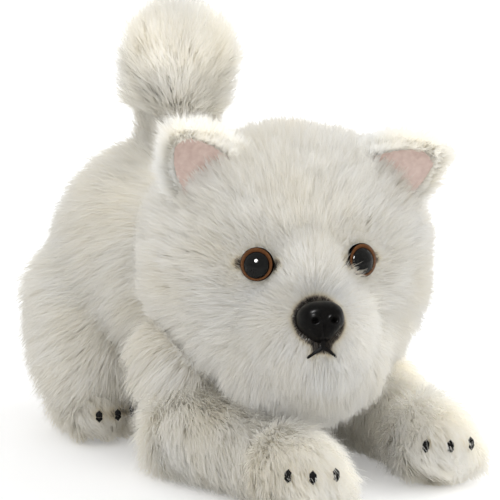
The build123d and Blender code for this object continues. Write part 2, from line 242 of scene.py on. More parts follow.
def tube(verts, faces, path, radius, around=8):
    """A closed round tube along a path, added to verts and faces."""
    path = np.asarray(path, float)
    along = unit(np.gradient(path, axis=0))
    ref = np.array([0, 0, 1.0]) if abs(along[0, 2]) < 0.9 else np.array([1.0, 0, 0])
    first = len(verts)
    for i, (at, d) in enumerate(zip(path, along)):
        a = unit(np.cross(d, ref))
        b = np.cross(d, a)
        end = min(i, len(path) - 1 - i)
        r = radius * (0.55 if end == 0 else 1)
        for k in range(around):
            t = 2 * pi * k / around
            verts.append(at + r * (cos(t) * a + sin(t) * b))
    faces += ring_quads(len(path), around, first)
    faces.append(tuple(first + k for k in range(around))[::-1])
    last = first + (len(path) - 1) * around
    faces.append(tuple(last + k for k in range(around)))


# ---------------------------------------------------------------- fur

def grow(p, n, look, rng, seed, steps=3, tuft=4.0):
    """The points of each strand, and how thin it is.

    look holds its length, comb, lift, droop, pull (towards its tuft) and fuzz. A few strands stray.
    """
    count = len(p)
    fuzz = look.get("fuzz", np.full(count, 1.0))[:, None]
    comb = look["comb"] + fuzz * (0.30 * noise(p, 13, seed) + 0.18 * noise(p, 5, seed + 1))
    comb = unit(comb - n * (comb * n).sum(1, keepdims=True))
    comb = unit(comb + 0.13 * rng.normal(size=(count, 3)))
    lift = look["lift"] + fuzz[:, 0] * 0.10 * noise(p, 7, seed + 2)[:, 0] + 0.06 * rng.normal(size=count)
    length = look["length"] * (0.74 + 0.36 * rng.random(count)) * (1 + 0.12 * noise(p, 8, seed + 3)[:, 1])
    stray = rng.random(count) < 0.04
    lift = np.clip(lift + 0.18 * stray, 0.06, 1.2)[:, None]
    length = length * (1 + 0.22 * stray)
    droop = look["droop"][:, None]
    curl = rng.normal(size=(count, 3)) * 0.09
    points = [p]
    for k in range(steps):
        s = (k + 0.5) / steps
        d = (n * lift * (1.2 - 0.6 * s) + comb * (1 - lift * 0.6) * (0.4 + 0.8 * s) + DOWN * droop * s * s
             + curl * s)
        points.append(points[-1] + unit(d) * (length / steps)[:, None])
    points = np.stack(points, 1)
    centre, own = clumps(p, tuft, seed + 4)
    inward = centre - p
    inward -= n * (inward * n).sum(1, keepdims=True)
    pull = look["pull"][:, None] * (0.6 + 0.8 * rng.random((count, 1)))
    for k in range(1, steps + 1):
        s = k / steps
        points[:, k] += inward * pull * s ** 1.3 + own * fuzz * (0.11 * look["length"] * s * s)[:, None]
    points[:, 1:, 2] = np.maximum(points[:, 1:, 2], 0.25 + 0.5 * rng.random((count, 1)))
    return points, np.where(stray, 0.6, 1.0)


def edges_and_tip(rows):
    """Each row's value for both edges of the ribbon, and the last row's once, for its tip."""
    return np.concatenate([np.repeat(rows[:, :-1], 2, 1), rows[:, -1:]], 1)


def fur_object(name, points, n, width, tint, dark, rng, material):
    """Tapered ribbons that follow the strands. dark, one value for each point, is added to the tint."""
    count, rows, _ = points.shape
    steps = rows - 1
    along = unit(np.gradient(points, axis=1))
    side = np.cross(along, n[:, None])
    side = unit(side + 1e-4)
    twist = rng.uniform(-0.35, 0.35, (count, 1, 1))
    side = unit(side * np.cos(twist) + np.cross(along, side) * np.sin(twist))
    outward = (np.cross(along, side) * n[:, None]).sum((1, 2))
    side *= np.where(outward < 0, -1, 1)[:, None, None]
    s = np.linspace(0, 1, rows)
    half = 0.5 * width[:, None] * (1 - 0.62 * s[:-1] ** 1.5)
    verts = edges_and_tip(points)
    verts[:, 0:-1:2] = points[:, :-1] - side[:, :-1] * half[..., None]
    verts[:, 1:-1:2] = points[:, :-1] + side[:, :-1] * half[..., None]
    pattern = []
    for k in range(steps - 1):
        i = 2 * k
        pattern += [(i, i + 2, i + 3), (i, i + 3, i + 1)]
    i = 2 * steps - 2
    pattern.append((i, i + 2, i + 1))
    pattern = np.array(pattern)
    tris = (np.arange(count)[:, None, None] * (2 * steps + 1) + pattern).reshape(-1, 3)
    v = edges_and_tip(np.tile(s, (count, 1)))
    u = tint[:, None] + edges_and_tip(dark)
    u[:, 0:-1:2] -= 0.001
    u[:, 1:-1:2] += 0.001
    uv = np.stack([u.clip(0.003, 0.997), 0.01 + 0.25 * v], -1).reshape(-1, 2)[tris.reshape(-1)]
    face = np.cross(along, side)
    normals = edges_and_tip(unit(0.22 * n[:, None] + face))

    mesh = bpy.data.meshes.new(name)
    flat = (verts.reshape(-1, 3) * MM).astype(np.float32)
    mesh.vertices.add(len(flat))
    mesh.vertices.foreach_set("co", flat.reshape(-1))
    mesh.loops.add(tris.size)
    mesh.loops.foreach_set("vertex_index", tris.reshape(-1).astype(np.int32))
    mesh.polygons.add(len(tris))
    mesh.polygons.foreach_set("loop_start", np.arange(0, tris.size, 3, dtype=np.int32))
    layer = mesh.uv_layers.new(name=UV)
    layer.data.foreach_set("uv", uv.reshape(-1).astype(np.float32))
    mesh.update(calc_edges=True)
    mesh.polygons.foreach_set("use_smooth", np.ones(len(tris), bool))
    mesh.normals_split_custom_set_from_vertices(normals.reshape(-1, 3).astype(np.float32))
    mesh.materials.append(material)
    ob = bpy.data.objects.new(name, mesh)
    bpy.context.scene.collection.objects.link(ob)
    return ob


# ---------------------------------------------------------------- materials

def material(name):
    mat = bpy.data.materials.new(name)
    mat.use_nodes = True
    nodes, links = mat.node_tree.nodes, mat.node_tree.links
    return mat, nodes, links, nodes["Principled BSDF"]


def add(nodes, kind, inputs=None, **settings):
    """A new shader node, with its settings and the values of its inputs."""
    node = nodes.new("ShaderNode" + kind)
    for key, value in settings.items():
        setattr(node, key, value)
    return put(node, inputs or {})


def put(node, values):
    for key, value in values.items():
        node.inputs[key].default_value = value
    return node


def ramp(nodes, stops):
    node = add(nodes, "ValToRGB")
    elements = node.color_ramp.elements
    elements[0].position, elements[1].position = stops[0][0], stops[-1][0]
    elements[0].color, elements[1].color = (*stops[0][1], 1), (*stops[-1][1], 1)
    for at, colour in stops[1:-1]:
        elements.new(at).color = (*colour, 1)
    return node


def uv_parts(nodes, links):
    """The UV as a vector, and its u and v apart."""
    uv, split = add(nodes, "UVMap", uv_map=UV), add(nodes, "SeparateXYZ")
    links.new(uv.outputs["UV"], split.inputs[0])
    return uv.outputs["UV"], split.outputs["X"], split.outputs["Y"]


def multiplied(nodes, links, a, b):
    both = add(nodes, "Mix", {"Factor": 1.0}, data_type="RGBA", blend_type="MULTIPLY")
    links.new(a, both.inputs[6])
    links.new(b, both.inputs[7])
    return both.outputs[2]


def fur_material(name):
    """The colour of a strand is set by its tint, along u, and the way from root to tip, along v."""
    mat, nodes, links, shader = material(name)
    _, u, v = uv_parts(nodes, links)
    tint = ramp(nodes, [(0.0, (0.88, 0.90, 0.93)), (0.25, (0.95, 0.945, 0.925)), (0.5, (0.945, 0.92, 0.85)),
                        (0.64, (0.86, 0.80, 0.67)), (0.76, (0.42, 0.37, 0.31)), (0.9, (0.09, 0.078, 0.07)),
                        (1.0, (0.022, 0.02, 0.018))])
    links.new(u, tint.inputs["Fac"])
    stretch = add(nodes, "Math", {1: 4.0}, operation="MULTIPLY")
    links.new(v, stretch.inputs[0])
    along = ramp(nodes, [(0.0, (0.91, 0.89, 0.84)), (0.35, (0.96, 0.95, 0.925)), (0.7, (0.99, 0.985, 0.975)),
                         (1.0, (1.0, 1.0, 1.0))])
    links.new(stretch.outputs[0], along.inputs["Fac"])
    colour = multiplied(nodes, links, tint.outputs["Color"], along.outputs["Color"])
    links.new(colour, shader.inputs["Base Color"])
    put(shader, {"Roughness": 0.55, "Specular IOR Level": 0.06})
    through = add(nodes, "BsdfTranslucent")
    links.new(colour, through.inputs["Color"])
    mix = add(nodes, "MixShader", {"Fac": 0.5})
    links.new(shader.outputs[0], mix.inputs[1])
    links.new(through.outputs[0], mix.inputs[2])
    links.new(mix.outputs[0], nodes["Material Output"].inputs["Surface"])
    return mat


def patterned(name, dark, light, scale, rough, bump=0.0, distance=0.0004, detail=4, sheen=0.0, specular=0.5,
              stretch=(1, 1, 1)):
    """A material whose colour and height vary with fine noise in object coordinates, in cycles per metre."""
    mat, nodes, links, shader = material(name)
    place, mapping = add(nodes, "TexCoord"), add(nodes, "Mapping", {"Scale": stretch})
    links.new(place.outputs["Object"], mapping.inputs["Vector"])
    grain = add(nodes, "TexNoise", {"Scale": scale, "Detail": detail})
    links.new(mapping.outputs[0], grain.inputs["Vector"])
    band = ramp(nodes, [(0.3, dark), (0.7, light)])
    links.new(grain.outputs["Fac"], band.inputs["Fac"])
    links.new(band.outputs["Color"], shader.inputs["Base Color"])
    put(shader, {"Roughness": rough, "Specular IOR Level": specular, "Sheen Weight": sheen})
    if bump:
        high = add(nodes, "Bump", {"Strength": bump, "Distance": distance})
        links.new(grain.outputs["Fac"], high.inputs["Height"])
        links.new(high.outputs[0], shader.inputs["Normal"])
    return mat


WHITE_FUR = fur_material("white_fur")
BACKING = patterned("fur_backing_knit", (0.86, 0.84, 0.79), (0.94, 0.93, 0.90), 900, 0.9, 0.5, sheen=0.3)
PINK = patterned("ear_lining_velour", (0.66, 0.48, 0.42), (0.80, 0.63, 0.56), 420, 0.8, 0.5, 0.0003, 8,
                 sheen=0.3)
THREAD = patterned("black_embroidery_thread", (0.003, 0.003, 0.003), (0.010, 0.009, 0.008), 2200, 0.5, 0.6,
                   0.0002, specular=0.06, stretch=(1, 1, 3))
WHITE_THREAD = patterned("white_sewing_thread", (0.72, 0.70, 0.65), (0.88, 0.87, 0.83), 2400, 0.5, 0.5,
                         0.0002)
NOSE_MAT = patterned("black_nose_plastic", (0.003, 0.003, 0.003), (0.008, 0.007, 0.006), 900, 0.3, 0.10,
                     0.00015, specular=0.045)
EYE_BLACK = patterned("eye_cup_plastic", (0.002, 0.002, 0.002), (0.006, 0.005, 0.004), 600, 0.4, specular=0.0)
PUPIL = patterned("pupil_enamel", (0.004, 0.004, 0.0035), (0.007, 0.0072, 0.0065), 500, 0.04, specular=0.15)
WASHER = patterned("washer_plastic", (0.55, 0.55, 0.53), (0.68, 0.68, 0.66), 800, 0.45, 0.1, 0.0002)


def iris_material():
    """Brown enamel with fine spokes, darker at the rim, worked out in the eye's own coordinates."""
    mat, nodes, links, shader = material("iris_enamel")
    uv, _, v = uv_parts(nodes, links)
    spokes = add(nodes, "TexNoise", {"Scale": 1.0, "Detail": 6})
    stretch = add(nodes, "Mapping", {"Scale": (90, 2, 1)})
    links.new(uv, stretch.inputs["Vector"])
    links.new(stretch.outputs[0], spokes.inputs["Vector"])
    band = ramp(nodes, [(0.0, (0.040, 0.016, 0.008)), (0.3, (0.16, 0.068, 0.029)),
                        (0.75, (0.24, 0.108, 0.048)), (0.93, (0.17, 0.07, 0.03)),
                        (1.0, (0.04, 0.018, 0.010))])
    links.new(v, band.inputs["Fac"])
    streak = ramp(nodes, [(0.3, (0.62, 0.60, 0.58)), (0.7, (1, 1, 1))])
    links.new(spokes.outputs["Fac"], streak.inputs["Fac"])
    colour = multiplied(nodes, links, band.outputs["Color"], streak.outputs["Color"])
    links.new(colour, shader.inputs["Base Color"])
    put(shader, {"Roughness": 0.3, "Specular IOR Level": 0.0})
    return mat


def glass_material():
    """Clear acrylic: see-through, with a mirror skin that strengthens towards the rim."""
    mat, nodes, links, shader = material("clear_acrylic")
    clear = add(nodes, "BsdfTransparent", {"Color": (0.97, 0.96, 0.95, 1)})
    gloss = add(nodes, "BsdfGlossy", {"Roughness": 0.03})
    slant = add(nodes, "LayerWeight", {"Blend": 0.3})
    rim = add(nodes, "MapRange", {"From Min": 0.35, "From Max": 1.0, "To Min": 0.0, "To Max": 0.35})
    links.new(slant.outputs["Facing"], rim.inputs["Value"])
    mix = add(nodes, "MixShader")
    links.new(rim.outputs["Result"], mix.inputs["Fac"])
    links.new(clear.outputs[0], mix.inputs[1])
    links.new(gloss.outputs[0], mix.inputs[2])
    links.new(mix.outputs[0], nodes["Material Output"].inputs["Surface"])
    nodes.remove(shader)
    return mat


IRIS = iris_material()
GLASS = glass_material()

# ---------------------------------------------------------------- torso and tail

rng = np.random.default_rng(2216)


def show(ob, body, slot, *nodes):
    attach(ob, body)
    if nodes:
        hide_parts(*nodes)
    return ob


def filling(name, made, body, slot, fill, *nodes):
    """The padded skin that the fur grows from."""
    show(skin_object(name, made, BACKING), body, slot, *nodes)


TORSO = form(
    limb((0, 57, 70), 46.5, (0, 15, 64), 39)
    + [((0, 0, 35), (26, 24, 26)), ((0, 52, 62), (46, 44, 46))]
    + [((side * 33, 67, 52), (24, 25, 27)) for side in (1, -1)]
    + sum([limb((side * 36, 62, 46), 23, (side * 44, 50, 30), 18) for side in (1, -1)], [])
    + [((side * 36, -17, 46), (19, 22, 23)) for side in (1, -1)],
    2.4, 10, cut=(HEAD_AT, HEAD_CUP))
FEET = {side: form(limb((side * 49, 60, 11), 8.5, (side * 51, 37, 11.5), 10.5)
                   + [((side * 51 + 6.4 * k, 33.5 + abs(k) * 1.5, 9.2), (5.2, 7, 6.6)) for k in (-1, 0, 1)],
                   1.2, 5)
        for side in (1, -1)}
TAIL = form(limb((0, 55, 114), 12.5, (0, 53.5, 138), 10.5) + limb((0, 53.5, 145), 14.5, (0, 53, 157), 16.0),
            1.4, 6)


def torso_look(p, n):
    q = unit(p - HEAD_AT)
    back = smooth(-10, 70, p[:, 1])
    comb = 0.75 * q + DOWN * (0.55 + 0.2 * back)[:, None] + np.array([0, 0.25, 0])
    length = 17.5 - 5.5 * (1 - smooth(8, 34, p[:, 2]))
    length = length - 5 * near(p, (0, 54, 116), 24)
    dist = np.linalg.norm(p - HEAD_AT, axis=1)
    length = length * (0.55 + 0.45 * smooth(57, 64, dist))
    return {"comb": comb, "length": length, "lift": 0.48, "droop": 0.30, "pull": 0.18, "fuzz": 0.6}


def tail_look(p, n):
    up = smooth(122, 146, p[:, 2])
    out = unit(p - np.array([0, 53, 140]))
    comb = out * up[:, None] + np.array([0, 0, 1.0]) * (1.25 - 0.75 * up)[:, None]
    comb = comb + np.array([0.45, 0.0, 0.0]) * noise(p, 20, 91)[:, :1]
    return {"comb": comb, "length": 14.5 + 3.0 * up, "lift": 0.50 + 0.07 * up, "droop": 0.06, "pull": 0.30}


def foot_look(p, n):
    comb = np.array([0, -0.9, -0.35]) + 0.4 * n * [1, 1, 0]
    low = 1 - smooth(2, 9, p[:, 2])
    length = 11.0 - 2.5 * (1 - smooth(27, 39, p[:, 1])) - 2.5 * low
    return {"comb": comb, "length": length, "lift": 0.34, "droop": 0.2, "pull": 0.22}


UNDER_WIDE = 1.5            # width of an undercoat strand beside a top one


def hairs(names, skin, count, look, body, slot, tint, keep=None, paint=None, width=0.42, seed=1, steps=3,
          tuft=4.0, split=None, weight=None, under=0.22, short=0.5):
    """Fur on one skin, in two pieces for each name.

    The undercoat casts the shadows. It has the share under of the strands, and short is its length beside
    the fine top strands, which cast none. paint(p) is the airbrushed colour at a place, and split(p)
    numbers the name of a strand.
    """
    p, n = roots(skin, count, rng, weight)
    if keep is not None:
        kept = keep(p, n)
        p, n = p[kept], n[kept]
    fields = {key: value if np.ndim(value) else np.full(len(p), value) for key, value in look(p, n).items()}
    low = rng.random(len(p)) < under
    fields["length"] = fields["length"] * np.where(low, short, 1)
    points, thin = grow(p, n, fields, rng, seed, steps, tuft)
    shade = tint(p, n)
    dark = paint(points.reshape(-1, 3)).reshape(points.shape[:2]) if paint else np.zeros(points.shape[:2])
    wide = width * (0.75 + 0.5 * rng.random(len(p))) * thin * np.where(low, UNDER_WIDE, 1)
    which = split(p) if split else np.zeros(len(p), int)
    for k, (name, nodes) in enumerate(names.items()):
        for layer, mine in (("", (which == k) & ~low), ("_undercoat", (which == k) & low)):
            ob = fur_object(name + layer, points[mine], n[mine], wide[mine], shade[mine], dark[mine],
                            rng, WHITE_FUR)
            ob.visible_shadow = layer != ""
            show(ob, body, slot, *nodes)


def plain_tint(p, base=0.30, spread=0.10, seed=70):
    field = base + spread * noise(p, 16, seed)[:, 0] + 0.5 * spread * noise(p, 5, seed + 1)[:, 1]
    return (field + 0.04 * rng.normal(size=len(p))).clip(0.02, 0.60)


def plain_white(base):
    return lambda p, n: plain_tint(p, base)


def torso_tint_and_shade(p, n):
    # Painted shade: the fur is made darker and warmer at the tail's root and low on the chest between the
    # forelegs, where shade falls in the creases, on top of its own uneven tone.
    painted_crease_shade = near(p, (0, 54, 118), 30) + near(p, (30, -10, 20), 34) + near(p, (-30, -10, 20), 34)
    return plain_tint(p, 0.34) + 0.14 * painted_crease_shade


CLAW_REACH, CLAW_DARK = 4.8, 0.45


def claw_paint(spots):
    """Airbrushed fur beside the claws."""
    return lambda p: CLAW_DARK * sum(near(p, spot, CLAW_REACH) for spot in spots)


def torso_keep(p, n):
    return (np.linalg.norm(p - HEAD_AT, axis=1) > CUP_BARE) & (p[:, 2] > 1)


hairs({"left_side_fur_front": ["left_side_panel"], "left_side_fur_rear": [],
       "right_side_fur_front": ["right_side_panel"], "right_side_fur_rear": [], "belly_fur": ["belly_panel"]},
      TORSO, 150000, torso_look, "torso", "body_fur", torso_tint_and_shade, torso_keep, width=0.40, seed=11, tuft=4.6,
      under=0.20, short=0.62,
      split=lambda p: np.where(p[:, 2] < 30, 4, np.where(p[:, 0] > 0, 0, 2) + (p[:, 1] > 55)))
filling("torso_skin", TORSO, "torso", "body_fur", 0.8, "torso_stuffing")


def ball_point(centre, radius, heading, up):
    """A point of a paw's ball. heading is in degrees from straight ahead, towards +X."""
    a, e = radians(heading), radians(up)
    return np.asarray(centre, float) + radius * np.array([sin(a) * cos(e), -cos(a) * cos(e), sin(e)])


def claw_threads(name, centre, radius, heading, fan=30, up=14, length=5.0):
    """Three short satin stitches, each of several threads side by side."""
    verts, faces, spots = [], [], []
    half = np.degrees(length / 2 / radius)
    for k in (-1, 0, 1):
        toe = heading + k * fan
        spots.append(ball_point(centre, radius - 4, toe, up))
        for j in np.linspace(-1, 1, 5):
            lean = j * np.degrees(1.0 / radius)
            short = half * (1 - 0.35 * abs(j))
            path = [ball_point(centre, radius + 0.35 - 0.5 * abs(t) ** 3 - 0.25 * abs(j), toe + lean,
                               up + short * t) for t in np.linspace(-1, 1, 7)]
            tube(verts, faces, path, 0.42)
    return new_mesh(name, np.array(verts) * MM, faces, THREAD), spots


for side, word in SIDES:
    claws, spots = claw_threads(f"{word}_hind_claws", (side * 51, 35.75, 13.5), 16.0, 0, up=4)
    show(claws, "torso", "black_thread", f"{word}_hind_foot_claws")

    hairs({f"{word}_hind_foot_fur": [f"{word}_hind_foot_top", f"{word}_hind_foot_under"]}, FEET[side], 9500,
          foot_look, "torso", "paw_fur", plain_white(0.36), lambda p, n: (p[:, 2] > 0.5) & (n[:, 2] > -0.9),
          claw_paint(spots), width=0.36, seed=20 + side, tuft=3.0)
    filling(f"{word}_hind_foot_skin", FEET[side], "torso", "paw_fur", 0.8, f"{word}_hind_foot_stuffing")

hairs({"tail_fur": ["tail_left_panel", "tail_right_panel"]}, TAIL, 33000, tail_look, "tail", "body_fur",
      plain_white(0.33), width=0.36, seed=31, tuft=4.4, under=0.12, short=0.62)
filling("tail_skin", TAIL, "tail", "body_fur", 0.7, "tail_stuffing")

# ---------------------------------------------------------------- forelegs

PAW_BACK = {1: 6.0, -1: 0.0}        # how far each paw lies behind the foremost
PAW_TURN = {1: -12, -1: -36}        # degrees from the leg's run to where the toes point

for side, word in SIDES:
    body = f"{word}_foreleg"
    elbow, paw = np.array([side * 44, -29.25, 17.0]), np.array([side * 34, -97.25 + PAW_BACK[side], 15.5])
    run = unit(paw - elbow)
    heading = np.degrees(np.arctan2(run[0], -run[1])) + PAW_TURN[side]
    ahead_of = np.array([sin(radians(heading)), -cos(radians(heading)), 0])
    across = np.array([-ahead_of[1], ahead_of[0], 0])
    toes = [(paw + ahead_of * (4.6 - abs(k) * 1.7) + across * 6.4 * k + np.array([0, 0, -3.4]),
             (6.0, 6.0, 6.6)) for k in (-1.5, -0.5, 0.5, 1.5)]
    skin = form(limb(elbow, 16.5, paw - run * 24, 11.5)
                + limb(paw - run * 11, 13.4, paw - [0, 0, 1.5], 13.4) + toes, 1.3, 5)
    claws, spots = claw_threads(f"{word}_fore_claws", paw + [0, 0, 1.0], 17.5, heading, fan=33, up=9,
                                length=5.4)
    show(claws, body, "black_thread", f"{word}_foreleg_claws")

    def leg_look(p, n, run=run, paw=paw):
        ahead = smooth(-26, 2, (p - paw) @ run)
        low = 1 - smooth(2, 10, p[:, 2])
        comb = run * 0.9 + DOWN * 0.45 + 0.35 * n * [1, 1, 0]
        return {"comb": comb, "length": 14.5 - 4.5 * ahead - 3.5 * low, "lift": 0.38 - 0.02 * ahead,
                "droop": 0.25, "pull": 0.22, "fuzz": 0.8}

    hairs({f"{word}_foreleg_fur": [f"{word}_foreleg_top", f"{word}_foreleg_under"]}, skin, 33000, leg_look,
          body, "paw_fur", plain_white(0.34), lambda p, n: p[:, 2] > 0.5, claw_paint(spots), width=0.40,
          seed=40 + side, tuft=3.6, under=0.07, short=0.3)
    filling(f"{word}_foreleg_skin", skin, body, "paw_fur", 0.8, f"{word}_foreleg_stuffing")

# ---------------------------------------------------------------- head

HEAD = form([((0, 0, 0), (50, 46.5, 46)), ((0, -8, -18), (44, 37, 31)), ((0, -41, -16.5), (22, 22, 20)),
             ((0, -48.2, -19), (19.5, 18, 16)), ((0, -42.5, 3), (14, 13.5, 15)),
             ((0, -30, -29), (31, 24, 23)), ((15, 6, 2), (40, 42, 47)), ((-15, 6, 2), (40, 42, 47)),
             ((0, 4, 9), (45, 40, 43.5))], 2.0, 10, turned=True)
EYES = {side: np.array([side * sin(EYE_SIDE) * cos(EYE_UP), -cos(EYE_SIDE) * cos(EYE_UP), sin(EYE_UP)])
        for side in (1, -1)}
EYE_ROOTS = 47              # from the head's middle to the roots of the fur round an eye
EYE_TIPS = 49               # and to its tips
NOSE_UP = radians(21)
NOSE_DIR = np.array([0, -cos(NOSE_UP), sin(NOSE_UP)])
NOSE_AT = MUZZLE_AT + 26 * NOSE_DIR
MOUTH_DOWN = radians(6)
MOUTH_AT = MUZZLE_AT + 24 * np.array([0, -cos(MOUTH_DOWN), -sin(MOUTH_DOWN)])
FACE = np.array([0, -55.0, -10.0])      # where the face's combing starts, under the nose


def head_look(p, n):
    q = to_head(p)
    eye = np.minimum(*[np.linalg.norm(q - EYES[s] * EYE_ROOTS, axis=1) for s in (1, -1)])
    nose = np.linalg.norm(q - NOSE_AT + NOSE_DIR * 4, axis=1)
    out = unit(q - FACE)
    low = 1 - smooth(-34, -6, q[:, 2])
    front = 1 - smooth(-46, -18, q[:, 1])
    beard = front * (1 - smooth(-34, -24, q[:, 2])) * (1 - smooth(20, 38, abs(q[:, 0])))
    comb = out + np.array([0, 0, -1.0]) * (0.60 * low + 1.3 * beard)[:, None]
    comb = comb + np.array([0, 0.3, 0.0]) * smooth(10, 40, q[:, 2])[:, None]
    # The fur parts round the eyes, but not on the side of the left one that faces the bridge.
    for s in (1, -1):
        at = EYES[s] * EYE_ROOTS
        apart = near(q, at, 13)
        if s > 0:
            apart = apart * (1 - smooth(1, 5, at[0] - q[:, 0]))
        comb = comb + 1.6 * unit(q - at) * apart[:, None]
    # It is short at the eyes, on the bridge, at the nose and at the mouth, and long in the beard.
    length = 15.5 + 1.5 * low
    side = smooth(26, 46, abs(q[:, 0])) * smooth(-44, -20, q[:, 1])
    length = length * (0.20 + 0.80 * smooth(6.5, 25, eye))
    over = near(q, EYES[1] * 48 - [8, 2, 5], 9)         # a lock that falls over the left eye
    comb = comb + np.array([2.4, -0.4, 0.4]) * over[:, None]
    length = length + 6.5 * over
    bridge = near(q, (0, -54, 3), 24)
    length = length * (1 - 0.45 * bridge)
    length = np.minimum(length, 2.8 + 0.55 * np.maximum(nose - 7, 0) + 3 * over)
    length = length * (1 - beard) + beard * np.minimum(25.0, 3.0 + 1.1 * np.maximum(nose - 9, 0))
    length = np.minimum(length, 2.2 + 9 * smooth(2.5, 8, np.linalg.norm(q - MOUTH_AT + [0, 0, 2], axis=1)))
    hang = beard * smooth(0.1, 0.8, -n[:, 2])
    lift = (0.44 - 0.10 * bridge + 0.25 * over + 0.65 * hang + 0.16 * smooth(15, 45, q[:, 2]) - 0.16 * beard
            + 0.14 * side)
    face = near(q, FACE, 50)
    return {"comb": comb @ TURN.T, "length": length, "lift": lift, "droop": 0.10 + 0.35 * low + 0.6 * beard,
            "pull": 0.26 + 0.10 * low - 0.2 * face, "fuzz": 0.9 - 0.7 * face}


def head_tint(p, n):
    q = to_head(p)
    return plain_tint(p, 0.31, 0.08) - 0.10 * near(q, (0, -56, -14), 48)


def head_paint(p):
    """Airbrushed fur at the eyes' corners and rims, round the nose and at the mouth."""
    q = to_head(p)
    dark = 0
    for s in (1, -1):
        level = unit(np.array([-EYES[s][1], EYES[s][0], 0]))
        for end in (1, -1):
            dark = dark + 0.52 * smooth(0, 0.9, near(q, EYES[s] * EYE_TIPS + level * 8.0 * end, 5.4))
        dark = dark + 0.20 * (1 - smooth(6.2, 9.5, np.linalg.norm(q - EYES[s] * EYE_TIPS, axis=1)))
    r = q - NOSE_AT
    off = np.linalg.norm(r - NOSE_DIR * (r @ NOSE_DIR)[:, None], axis=1)
    dark = dark + 0.70 * (1 - smooth(9.0, 12.2, off)) * (q[:, 1] < -50)
    dark = dark + 0.34 * smooth(0, 0.8, near(q, NOSE_AT + [-4, 4, 9], 6.0))
    dark = dark + 0.62 * smooth(0, 0.7, near(q, MOUTH_AT + [0, 1, 1], 6.5))
    for s in (1, -1):
        dark = dark + 0.36 * smooth(0, 0.8, near(q, MOUTH_AT + [3.4 * s, 1.5, -2.4], 4.2))
    return np.minimum(dark, 0.66)


def head_keep(p, n):
    """No fur under the eyes and the nose, nor where the neck goes in."""
    q = to_head(p)
    clear = np.ones(len(p), bool)
    for s in (1, -1):
        clear &= np.linalg.norm(np.cross(q, EYES[s]), axis=1) > 6.4 * (q @ EYES[s] > 0)
    r = q - NOSE_AT
    off = r - NOSE_DIR * (r @ NOSE_DIR)[:, None]
    clear &= (np.linalg.norm(off * [1, 1, 1.15], axis=1) > 6.4) | (r @ NOSE_DIR < -14)
    turned = unit(p - HEAD_AT) @ NECK_OUT
    return clear & (turned < cos(radians(33)))


def head_weight(p, n):
    q = to_head(p)
    return 1.0 + 0.8 * (q[:, 1] < -20) + 0.8 * near(q, FACE, 36)


def head_split(p):
    q = to_head(p)
    which = np.where(q[:, 2] > 26, np.where(q[:, 0] > 0, 0, 1), np.where(q[:, 2] < -30, 2, 3))
    side = np.where(q[:, 0] > 0, 5, 6)
    middle = np.where(q[:, 1] < -30, np.where(q[:, 0] > 0, 3, 4), side)
    return np.where(which == 3, middle, which)


hairs({"left_crown_fur": ["crown_panel"], "right_crown_fur": [], "chin_fur": ["chin_panel"],
       "left_face_fur": ["face_panel"], "right_face_fur": [], "left_cheek_fur": ["left_cheek_panel"],
       "right_cheek_fur": ["right_cheek_panel"]},
      HEAD, 150000, head_look, "head", "body_fur", head_tint, head_keep, head_paint, width=0.29, seed=51,
      split=head_split, weight=head_weight, under=0.24, short=0.7)
filling("head_skin", HEAD, "head", "body_fur", 0.85, "head_stuffing")


def neck_form():
    """The vertices and triangles of a cap behind the head, with a round rim."""
    level = np.array([1.0, 0, 0])
    up = np.cross(NECK_OUT, level)
    profile = [(51.5, a) for a in np.linspace(0, 38, 12)] + [(52.5, 40.5), (54, 41.5), (55.5, 40.5)]
    profile += [(56.5, a) for a in np.linspace(38, 0, 12)]
    verts, around = [], 48
    for r, a in profile:
        for k in range(around):
            t = 2 * pi * k / around
            d = cos(radians(a)) * NECK_OUT + sin(radians(a)) * (cos(t) * level + sin(t) * up)
            verts.append(HEAD_AT + r * d)
    quads = ring_quads(len(profile), around)
    return np.array(verts), np.array([t for a, b, c, d in quads for t in ((a, b, c), (a, c, d))])


co, tris = neck_form()
if ((co - HEAD_AT)[tris[-1]].mean(0) @ vertex_normals(co, tris)[tris[-1][0]]) < 0:
    tris = tris[:, ::-1]
NECK = co, tris, vertex_normals(co, tris)


def neck_look(p, n):
    out = unit(p - HEAD_AT)
    comb = out - NECK_OUT * (out @ NECK_OUT)[:, None] + 0.3 * NECK_OUT
    return {"comb": comb, "length": 8.0, "lift": 0.3, "droop": 0.1, "pull": 0.4}


hairs({"neck_collar_fur": ["neck_collar"]}, NECK, 9000, neck_look, "neck", "body_fur",
      plain_white(0.36), lambda p, n: unit(p - HEAD_AT) @ NECK_OUT < cos(radians(36)), width=0.4, seed=61)
filling("neck_skin", NECK, "neck", "body_fur", 0.6, "neck_stuffing")


# ---------------------------------------------------------------- eyes, nose and mouth

def lathe(name, profile, origin, out, mat, around=64, v_from=None):
    """A profile of (radius, height) turned about out. A radius of 0 closes it.

    v_from gives the v of the UV at a radius.
    """
    up = np.array([0, 0, 1.0])
    level = unit(np.cross(up, out))
    high = np.cross(out, level)
    verts, faces = [], ring_quads(len(profile), around)
    for r, h in profile:
        for k in range(around):
            t = 2 * pi * k / around
            verts.append(origin + h * out + max(r, 1e-3) * (cos(t) * level + sin(t) * high))
    ob = smooth_shaded(new_mesh(name, np.array(verts) * MM, faces, mat))
    if v_from:
        layer = ob.data.uv_layers.new(name=UV)
        rows = np.array([v_from(r) for r, _ in profile])
        uvs = [(0.02 + 0.96 * ((k + du) / around), rows[i + di]) for i in range(len(profile) - 1)
               for k in range(around) for du, di in ((0, 0), (1, 0), (1, 1), (0, 1))]
        layer.data.foreach_set("uv", np.array(uvs, np.float32).reshape(-1))
    return ob


